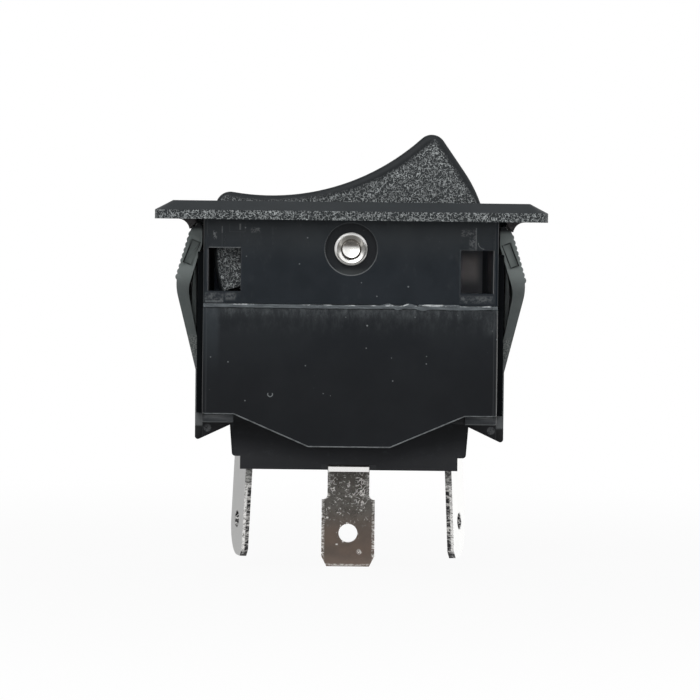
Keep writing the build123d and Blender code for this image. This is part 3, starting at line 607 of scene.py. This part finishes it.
def end_blade_finish():
    """Bright tinned blades: smooth faces, and sheared edges half polished and half torn."""
    s = Shader("end_terminal_metal")
    below = s.math("SUBTRACT", BASE_BOTTOM, s.z)
    sheared = s.step(s.math("ABSOLUTE", s.ny), 0.45, 0.7)
    tears = s.noise(2.4, 5, 0.8, s.stretch((0.7, 0.7, 2.0)))
    bars = s.noise(3.6, 4, 0.8, s.stretch((0.25, 0.25, 1.0)))
    middle = s.math("MULTIPLY_ADD", below, 0.0454, 11.72)
    inner = s.step(s.math("SUBTRACT", middle, s.out), -0.12, 0.05)
    burnished = s.tint(s.step(tears, 0.4, 0.5), (0.12, 0.115, 0.11), (0.92, 0.91, 0.89))
    torn = s.tint(s.step(bars, 0.48, 0.6), (0.012, 0.012, 0.014), (0.6, 0.59, 0.57))
    blade = s.tint(s.every(inner, s.step(below, 2.2, 2.6)), burnished, torn)
    neck = s.tint(s.step(tears, 0.44, 0.6), (0.09, 0.088, 0.085), (0.6, 0.6, 0.58))
    edge = s.tint(s.step(below, 1.9, 2.3), neck, blade)
    toe = s.every(s.step(s.z, -39.0, -39.25), s.step(tears, 0.62, 0.5))
    edge = s.tint(toe, edge, (0.03, 0.03, 0.032))
    face = s.tint(s.noise(0.5, 3), (0.7, 0.7, 0.69), (0.76, 0.76, 0.75))
    colour = s.tint(sheared, face, edge)
    rim = s.every(s.step(s.distance(s.y, s.z, (0, -35.55)), HOLE_RADIUS, 1.0),
                  s.step(s.noise(2.6, 3, 0.7), 0.44, 0.54))
    colour = s.tint(rim, colour, (0.02, 0.02, 0.022))
    metallic = s.math("SUBTRACT", 1.0, s.any(sheared, rim), clamp=True)
    height = s.math("ADD", s.math("MULTIPLY", s.noise(1.5, 3), 0.05), s.every(tears, sheared))
    return s.finish(colour, s.blend(sheared, 0.28, 0.4), s.bump(height, 0.04), metallic=metallic)


def nickel_finish():
    """Bright plated rivet, with a painted highlight on its rolled rim, painted shade on the upper
    funnel and upper dimple, and a darker ring round the dimple.
    """
    s = Shader("rivet_nickel")
    rise = s.math("SUBTRACT", s.z, PIVOT_Z)
    radius = s.distance(s.x, rise)
    clean = s.tint(s.noise(1.6, 4), (0.76, 0.75, 0.72), (0.88, 0.87, 0.85))
    ring = s.every(s.between(radius, 1.0, 1.2, 0.04), s.near)
    # Painted shade on the upper half of the funnel
    funnel = s.every(s.between(radius, 1.2, 1.62, 0.05), s.step(rise, -0.2, 0.4), s.near)
    # Painted shade on the upper part of the dimple
    dim = s.every(s.step(radius, 1.02, 0.98), s.step(rise, 0.15, 0.5), s.near)
    # Painted highlight on the upper rim: near white and mostly matt
    across = s.math("SUBTRACT", rise, s.math("MULTIPLY", s.x, 0.35))
    rolled = s.every(s.step(radius, 1.6, 1.68), s.step(across, -0.5, 0.6), s.near)
    colour = s.layers(
        clean,
        (s.every(ring, s.blend(s.noise(1.5, 2), 0.7, 1.0)), (0.26, 0.235, 0.2)),
        (s.every(funnel, 0.75), (0.5, 0.475, 0.43)),
        (s.every(dim, 0.8), (0.5, 0.46, 0.41)),
        (rolled, (0.97, 0.965, 0.95)),
    )
    return s.finish(colour, s.blend(s.noise(2.4, 3), 0.16, 0.3), s.bump(s.noise(3.0, 3), 0.006),
                    metallic=s.blend(rolled, 1.0, 0.25))


def gasket_finish():
    """Thin grey sheet with painted glints along its cut edge, and its lips beyond the body's ends
    painted as shade.
    """
    s = Shader("gasket_sheet")
    fibres = s.noise(2.4, 4, 0.65, s.stretch((0.3, 1, 2.5)))
    colour = s.tint(s.step(fibres, 0.35, 0.65), (0.06, 0.07, 0.078), (0.115, 0.132, 0.142))
    rim = s.step(s.z, SHEET_TOP - 0.14, SHEET_TOP - 0.04)
    # Painted highlight: glints along the sheet's top edge
    painted_glints = s.every(s.step(s.noise(0.7, 4, 0.7, s.stretch((1, 1, 1.5))), 0.5, 0.6),
                     s.step(s.out, BODY_END - 0.1, BODY_END - 0.3))
    colour = s.tint(s.every(rim, painted_glints), colour, (0.5, 0.53, 0.54))
    # The lips beyond the body's ends are painted SHADE, as painted shade
    outside = s.step(s.out, BODY_END - 0.02, BODY_END)
    colour = s.tint(outside, colour, SHADE)
    return s.finish(colour, 0.42, s.bump(fibres, 0.04), specular=s.blend(outside, 0.45, 0.03))


def plain_metal(name, dark, light, rough):
    """Inner metal parts: drawn or rolled, with faint streaks."""
    s = Shader(name)
    streaks = s.noise(1.5, 4, vector=s.stretch((1, 6, 1)))
    colour = s.tint(streaks, dark, light)
    return s.finish(colour, s.blend(streaks, rough, rough + 0.15), s.bump(streaks, 0.02),
                    metallic=1.0)


def acetal_finish():
    """Natural acetal, slightly waxy."""
    s = Shader("plunger_acetal")
    colour = s.tint(s.noise(0.8, 3), (0.72, 0.7, 0.64), (0.8, 0.79, 0.74))
    return s.finish(colour, 0.35, s.bump(s.noise(5, 2), 0.02))


def dress_nodes():
    """Gives every CAD node its finish, and returns the finishes by node."""
    end_blade = end_blade_finish()
    contact = plain_metal("contact_silver", (0.7, 0.69, 0.66), (0.85, 0.84, 0.82), 0.25)
    finishes = {
        "bezel_frame": bezel_finish(),
        "rocker": rocker_finish(),
        "pivot_rivet": nickel_finish(),
        "seal_gasket": gasket_finish(),
        "contact_housing": housing_finish(),
        "terminal_base": base_finish(),
        "plunger": acetal_finish(),
        "plunger_spring": plain_metal("spring_steel", (0.4, 0.4, 0.4), (0.6, 0.6, 0.6), 0.3),
        "contact_arm": plain_metal("arm_copper", (0.62, 0.33, 0.2), (0.78, 0.47, 0.32), 0.3),
        "moving_contact_left": contact,
        "moving_contact_right": contact,
        "fixed_contact_left": contact,
        "fixed_contact_right": contact,
        "common_terminal": centre_blade_finish(),
        "left_terminal": end_blade,
        "right_terminal": end_blade,
    }
    for node, material in finishes.items():
        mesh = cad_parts[node].data
        mesh.materials.clear()
        mesh.materials.append(material)
    return finishes


# ------------------------------------------------------------------ pieces
def make_piece(name, shape, material, body, replaced):
    """Turns a bmesh in millimetres into a piece that stands for a CAD node."""
    bmesh.ops.recalc_face_normals(shape, faces=shape.faces)
    mesh = bpy.data.meshes.new(name)
    shape.to_mesh(mesh)
    shape.free()
    mesh.transform(Matrix.Scale(MM, 4))
    mesh.materials.append(material)
    piece = bpy.data.objects.new(name, mesh)
    bpy.context.scene.collection.objects.link(piece)
    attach(piece, body)
    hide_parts(replaced)
    return piece


def arc(centre, radius, start, end, parts):
    """Points (r, y) of an arc, with its angles measured from outwards to backwards."""
    turns = [start + (end - start) * part / parts for part in range(parts + 1)]
    return [(centre[0] + radius * cos(t), centre[1] + radius * sin(t)) for t in turns]


def soften(piece, angle):
    """Shades a piece smooth, apart from edges sharper than an angle in degrees."""
    for face in piece.data.polygons:
        face.use_smooth = True
    piece.data.set_sharp_from_angle(angle=radians(angle))


def make_rivet(material):
    """Rivet turned smooth: rolled rim, funnel and leaning dimple, a shank and a domed head."""
    shank, rim, head, dome = 1.5, 1.93, 2.5, 0.8
    seat = BODY_SIDE - 1.0
    front, funnel_depth, roll = -seat - 0.9, 0.17, 0.11
    dimple, bowl, lean = 1.0, 3.2, radians(11)
    half = asin(dimple / bowl)
    floor = front + funnel_depth + 0.14
    profile = arc((0.0, floor - bowl * cos(half)), bowl, pi / 2, pi / 2 - half, 12)
    profile += [(dimple + 0.03, floor + 0.1), (1.2, front + funnel_depth), (1.6, front + 0.01),
                (1.66, front), (1.76, front + 0.018), (1.87, front + 0.04)]
    profile += arc((rim - roll, front + roll + 0.04), roll, 1.75 * pi, 2 * pi, 6)
    profile += [(rim, -seat), (shank, -seat), (shank, seat)]
    profile += [(head * cos(t), seat + dome * sin(t)) for t in
                (pi / 2 * part / 12 for part in range(13))]
    shape = bmesh.new()
    line = [shape.verts.new((radius, y, PIVOT_Z)) for radius, y in profile]
    edges = [shape.edges.new(pair) for pair in zip(line, line[1:])]
    bmesh.ops.spin(shape, geom=line + edges, cent=(0, 0, PIVOT_Z), axis=(0, 1, 0),
                   angle=2 * pi, steps=96, use_duplicate=False)
    bmesh.ops.remove_doubles(shape, verts=shape.verts, dist=0.001)
    for vertex in shape.verts:
        x, y, z = vertex.co
        if y < 0 and x**2 + (z - PIVOT_Z)**2 < (dimple + 0.01)**2:
            vertex.co.y += (z - PIVOT_Z) * sin(lean)
    piece = make_piece("rivet_turned", shape, material, "case", "pivot_rivet")
    soften(piece, 40)


def node_shape(node):
    """The form of a CAD node as a bmesh in millimetres."""
    shape = bmesh.new()
    shape.from_mesh(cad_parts[node].data)
    bmesh.ops.scale(shape, vec=(1 / MM,) * 3, verts=shape.verts)
    bmesh.ops.remove_doubles(shape, verts=shape.verts, dist=0.0005)
    return shape


def join_rings(shape, first, second):
    """Closes the solid between two rings of vertices."""
    shape.faces.new(first)
    shape.faces.new(second[::-1])
    for index in range(len(first)):
        after = (index + 1) % len(first)
        shape.faces.new((first[index], second[index], second[after], first[after]))


def add_prism(shape, outline, front, back):
    """Solid between two places along y, over an outline of (x, z) places."""
    join_rings(shape, *([shape.verts.new((x, y, z)) for x, z in outline] for y in (front, back)))


def make_centre_blade(material):
    """The centre terminal with its detent hole, a broader tip, and the fold where the strip was
    bent, which its finish paints near white as a highlight."""
    shape = node_shape("common_terminal")
    piece = make_piece("centre_terminal_pierced", shape, material, "case",
                       "common_terminal")
    bpy.ops.mesh.primitive_cylinder_add(
        vertices=64, radius=HOLE_RADIUS * MM, depth=4 * MM,
        location=(0, 0, (BASE_BOTTOM - HOLE_BELOW) * MM), rotation=(pi / 2, 0, 0))
    drill = bpy.context.object
    bore = piece.modifiers.new("bore", "BOOLEAN")
    bore.operation = "DIFFERENCE"
    bore.solver = "EXACT"
    bore.object = drill
    ready = piece.evaluated_get(bpy.context.evaluated_depsgraph_get())
    pierced = bmesh.new()
    pierced.from_mesh(ready.to_mesh())
    piece.modifiers.clear()
    bpy.data.objects.remove(drill)
    tip_height, tip_widening = 0.1, 1.3
    for vertex in pierced.verts:
        if vertex.co.z < (BLADE_TIP + tip_height) * MM:
            vertex.co.x *= tip_widening

    reach, root = NECK - 0.06, 0.02 - STRIP_SIDE    # the fold starts inside the strip
    top, bottom = BASE_BOTTOM - 0.2, BASE_BOTTOM - 0.78
    fold = [(root, top), (-0.56, top), (-0.46, bottom), (root, bottom)]
    join_rings(pierced, *([pierced.verts.new(Vector((x, y, z)) * MM) for y, z in fold]
                          for x in (-reach, reach)))
    bmesh.ops.recalc_face_normals(pierced, faces=pierced.faces)
    pierced.to_mesh(piece.data)
    pierced.free()
    soften(piece, 30)


def make_base(material):
    """The base, with its wing tips up to the flange and its notch as narrow as the neck."""
    shape = node_shape("terminal_base")
    cheek, notch, notch_top, block_side = NECK - 0.04, 3.2, BASE_BOTTOM + 0.6, 8.8
    tip_inner, tip_outer, tip_low = BODY_END + 0.32, BODY_END + 1.3, -1.3
    proud = WING_SIDE + 0.01                        # clear of the wing's own side faces
    for side in (-1, 1):
        filler = [(side * cheek, BASE_BOTTOM), (side * notch, BASE_BOTTOM),
                  (side * notch, notch_top), (side * cheek, notch_top)]
        add_prism(shape, filler, -block_side, -STRIP_SIDE)
        tip = [(side * tip_inner, tip_low), (side * tip_outer, tip_low),
               (side * (tip_outer - 0.25), -0.75), (side * (tip_inner + 0.5), -0.5),
               (side * (tip_inner + 0.1), -0.6)]
        add_prism(shape, tip, -proud, proud)
    soften(make_piece("terminal_base_closed_up", shape, material, "case",
                      "terminal_base"), 30)


def smooth_line(points, parts=6):
    """Points joined by a smooth curve through them."""
    line = []
    padded = [points[0], *points, points[-1]]
    for before, start, end, after in zip(padded, padded[1:], padded[2:], padded[3:]):
        for part in range(parts):
            t = part / parts
            line.append(tuple(
                0.5 * (2 * b + (c - a) * t + (2 * a - 5 * b + 4 * c - d) * t**2
                       + (3 * b - a - 3 * c + d) * t**3)
                for a, b, c, d in zip(before, start, end, after)))
    line.append(points[-1])
    return line


def make_gasket(material):
    """Sealing sheet with its opening, its near edge squeezed out and buckled over the joint,
    and lips that close the joint at the rails."""
    shape = bmesh.new()
    thick = SHEET_TOP - SHEET_LOW
    middle = (SHEET_TOP + SHEET_LOW) / 2
    opening_end, opening_side = 6.5, 3.1
    for left, right, front, back in (
        (-SHEET_END, -opening_end, -SHEET_SIDE, SHEET_SIDE),
        (opening_end, SHEET_END, -SHEET_SIDE, SHEET_SIDE),
        (-opening_end, opening_end, -SHEET_SIDE, -opening_side),
        (-opening_end, opening_end, opening_side, SHEET_SIDE),
    ):
        add_prism(shape, [(left, SHEET_LOW), (right, SHEET_LOW), (right, SHEET_TOP),
                          (left, SHEET_TOP)], front, back)

    # The squeezed edge: places along x, and how far the sheet is lifted there
    buckle = smooth_line([
        (-16.6, 0.0), (-15.5, 0.02), (-9.0, 0.0), (-2.0, -0.02), (2.8, 0.0), (3.7, 0.06),
        (4.35, 0.2), (4.95, 0.05), (5.45, -0.12), (6.1, 0.04), (6.8, 0.22), (7.5, 0.05),
        (8.3, -0.17), (9.3, -0.02), (10.4, 0.0), (12.2, -0.06), (14.0, -0.04), (16.3, 0.03),
    ])
    fold = 0.5 * thick
    edge, near_edge, flap_edge = (-BODY_SIDE - gap for gap in (0.01, 0.12, 0.16))
    upper = [(x, middle + lift + fold) for x, lift in buckle]
    lower = [(x, middle + lift - fold) for x, lift in buckle]
    add_prism(shape, lower + upper[::-1], near_edge, edge)
    flap = [(7.9, 0.2), (12.4, 0.17), (12.7, 0.02), (12.8, 0.16), (12.5, 0.34), (7.9, 0.34)]
    add_prism(shape, [(x, middle + lift) for x, lift in flap], flap_edge, near_edge)

    start, reach, spill = BODY_END + 0.01, BODY_END + 0.8, 0.1
    rail_place, rail_half = 6.9, 0.55
    lip = [(start, SHEET_LOW - spill), (reach, SHEET_LOW - spill),
           (reach, SHEET_TOP + spill), (start, SHEET_TOP + spill)]
    for side in (-1, 1):
        for rail in (-rail_place, rail_place):
            add_prism(shape, [(side * x, z) for x, z in lip], rail - rail_half, rail + rail_half)
    make_piece("gasket_squeezed", shape, material, "case", "seal_gasket")


def make_spring(material):
    """The plunger's spring, as its own piece on the rocker, with a mesh of its own."""
    piece = make_piece("spring_shortening", node_shape("plunger_spring"), material, "rocker",
                       "plunger_spring")
    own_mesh(piece)


# ------------------------------------------------------------------ stage, light and camera
def make_world():
    """Even light for matt surfaces. Shiny ones mirror a room with a large window behind and
    to the right, a lamp bank above the camera, a strip of table low down, and dim walls."""
    world = bpy.data.worlds.new("studio")
    bpy.context.scene.world = world
    t = Tree(world)
    room = t.tree.nodes["Background"]
    room.inputs["Color"].default_value = (1, 1, 1, 1)
    x, y, z = t.split(t.node("ShaderNodeTexCoord").outputs["Generated"])
    window = t.every(t.step(y, -0.1, 0.7), t.step(z, 0.75, 0.35),
                     t.math("MULTIPLY_ADD", x, 0.75, 0.8))
    bank = t.every(t.step(z, 0.14, 0.36), t.step(y, 0.35, -0.1))
    table = t.every(t.step(z, -0.28, -0.36),
                    t.math("MULTIPLY_ADD", t.step(z, -0.36, -0.5), -0.85, 0.95))
    sides = t.every(t.step(t.math("ABSOLUTE", x), 0.3, 0.7), t.step(y, 0.1, -0.3))
    mirrored = t.math("MULTIPLY_ADD", sides, 0.16, 0.13)
    for light in (window, bank, table):
        mirrored = t.math("ADD", mirrored, light)
    glossy = t.node("ShaderNodeLightPath").outputs["Is Glossy Ray"]
    even = t.every(t.math("SUBTRACT", 1.0, glossy), 0.42)
    t.join(t.math("MULTIPLY_ADD", mirrored, glossy, even), room.inputs["Strength"])
    white = t.node("ShaderNodeBackground")
    white.inputs["Color"].default_value = (1, 1, 1, 1)
    t.white_to_camera(room.outputs[0], white.outputs[0], 1.0, "World Output")


def make_floor():
    """Plain white floor that keeps a faint shadow and fades into the background."""
    bpy.ops.mesh.primitive_plane_add(size=6, location=(0, 0, (BLADE_TIP - 0.02) * MM))
    floor = bpy.context.object
    floor.name = "floor"
    material = bpy.data.materials.new("floor_white")
    t = Tree(material)
    surface = t.tree.nodes["Principled BSDF"]
    surface.inputs["Base Color"].default_value = (0.45, 0.45, 0.45, 1)
    surface.inputs["Roughness"].default_value = 0.9
    surface.inputs["Specular IOR Level"].default_value = 0.0
    radius = t.node("ShaderNodeVectorMath", operation="LENGTH")
    t.join(t.node("ShaderNodeTexCoord").outputs["Object"], radius.inputs[0])
    away = t.step(radius.outputs["Value"], 0.03, 0.16)
    share = t.math("MULTIPLY_ADD", away, 0.06, 0.94)
    glow = t.node("ShaderNodeEmission")
    t.white_to_camera(surface.outputs[0], glow.outputs[0], share, "Material Output")
    floor.data.materials.append(material)
    floor.visible_glossy = False


def make_lamp(name, place, target, size, watts, mirrored=True):
    """Square soft box aimed at a point. Places are in metres."""
    lamp = bpy.data.lights.new(name, "AREA")
    lamp.size = size
    lamp.energy = watts
    holder = bpy.data.objects.new(name, lamp)
    bpy.context.scene.collection.objects.link(holder)
    holder.location = place
    holder.rotation_euler = (Vector(target) - Vector(place)).to_track_quat("-Z", "Y").to_euler()
    holder.visible_glossy = mirrored


def make_camera():
    """Square on to the windowed side from the height of the flange, aimed at the middle of
    the part, which stands turned slightly clockwise."""
    distance, lift, field, aim_z, roll = 430, 15.3, 83.04, -15.34, radians(0.65)
    pitch = asin(lift / distance)
    camera = bpy.data.cameras.new("camera")
    camera.sensor_width = 36
    camera.lens = camera.sensor_width * distance / field
    camera.clip_start = 0.01
    camera.clip_end = 20
    holder = bpy.data.objects.new("camera", camera)
    bpy.context.scene.collection.objects.link(holder)
    place = Vector((0, -distance * cos(pitch), aim_z + distance * sin(pitch))) * MM
    holder.matrix_world = (
        Matrix.Translation(place) @ Matrix.Rotation(pi / 2 - pitch, 4, "X")
        @ Matrix.Rotation(roll, 4, "Z")
    )
    bpy.context.scene.camera = holder


finishes = dress_nodes()
make_rivet(finishes["pivot_rivet"])
make_gasket(finishes["seal_gasket"])
make_centre_blade(finishes["common_terminal"])
make_base(finishes["terminal_base"])
make_spring(finishes["plunger_spring"])
make_world()
make_floor()
MIDDLE = (0, 0, -0.015)
make_lamp("key", (-0.25, -0.55, 0.55), MIDDLE, 0.5, 2.4)
make_lamp("front", (0, -0.8, 0.0), MIDDLE, 0.6, 2.8, mirrored=False)
make_lamp("fill", (0.5, -0.45, 0.1), MIDDLE, 0.4, 0.7, mirrored=False)
make_lamp("top", (0, 0.1, 0.6), (0, 0, 0), 0.4, 1.0, mirrored=False)
make_camera()
bpy.context.scene.view_settings.view_transform = "Standard"
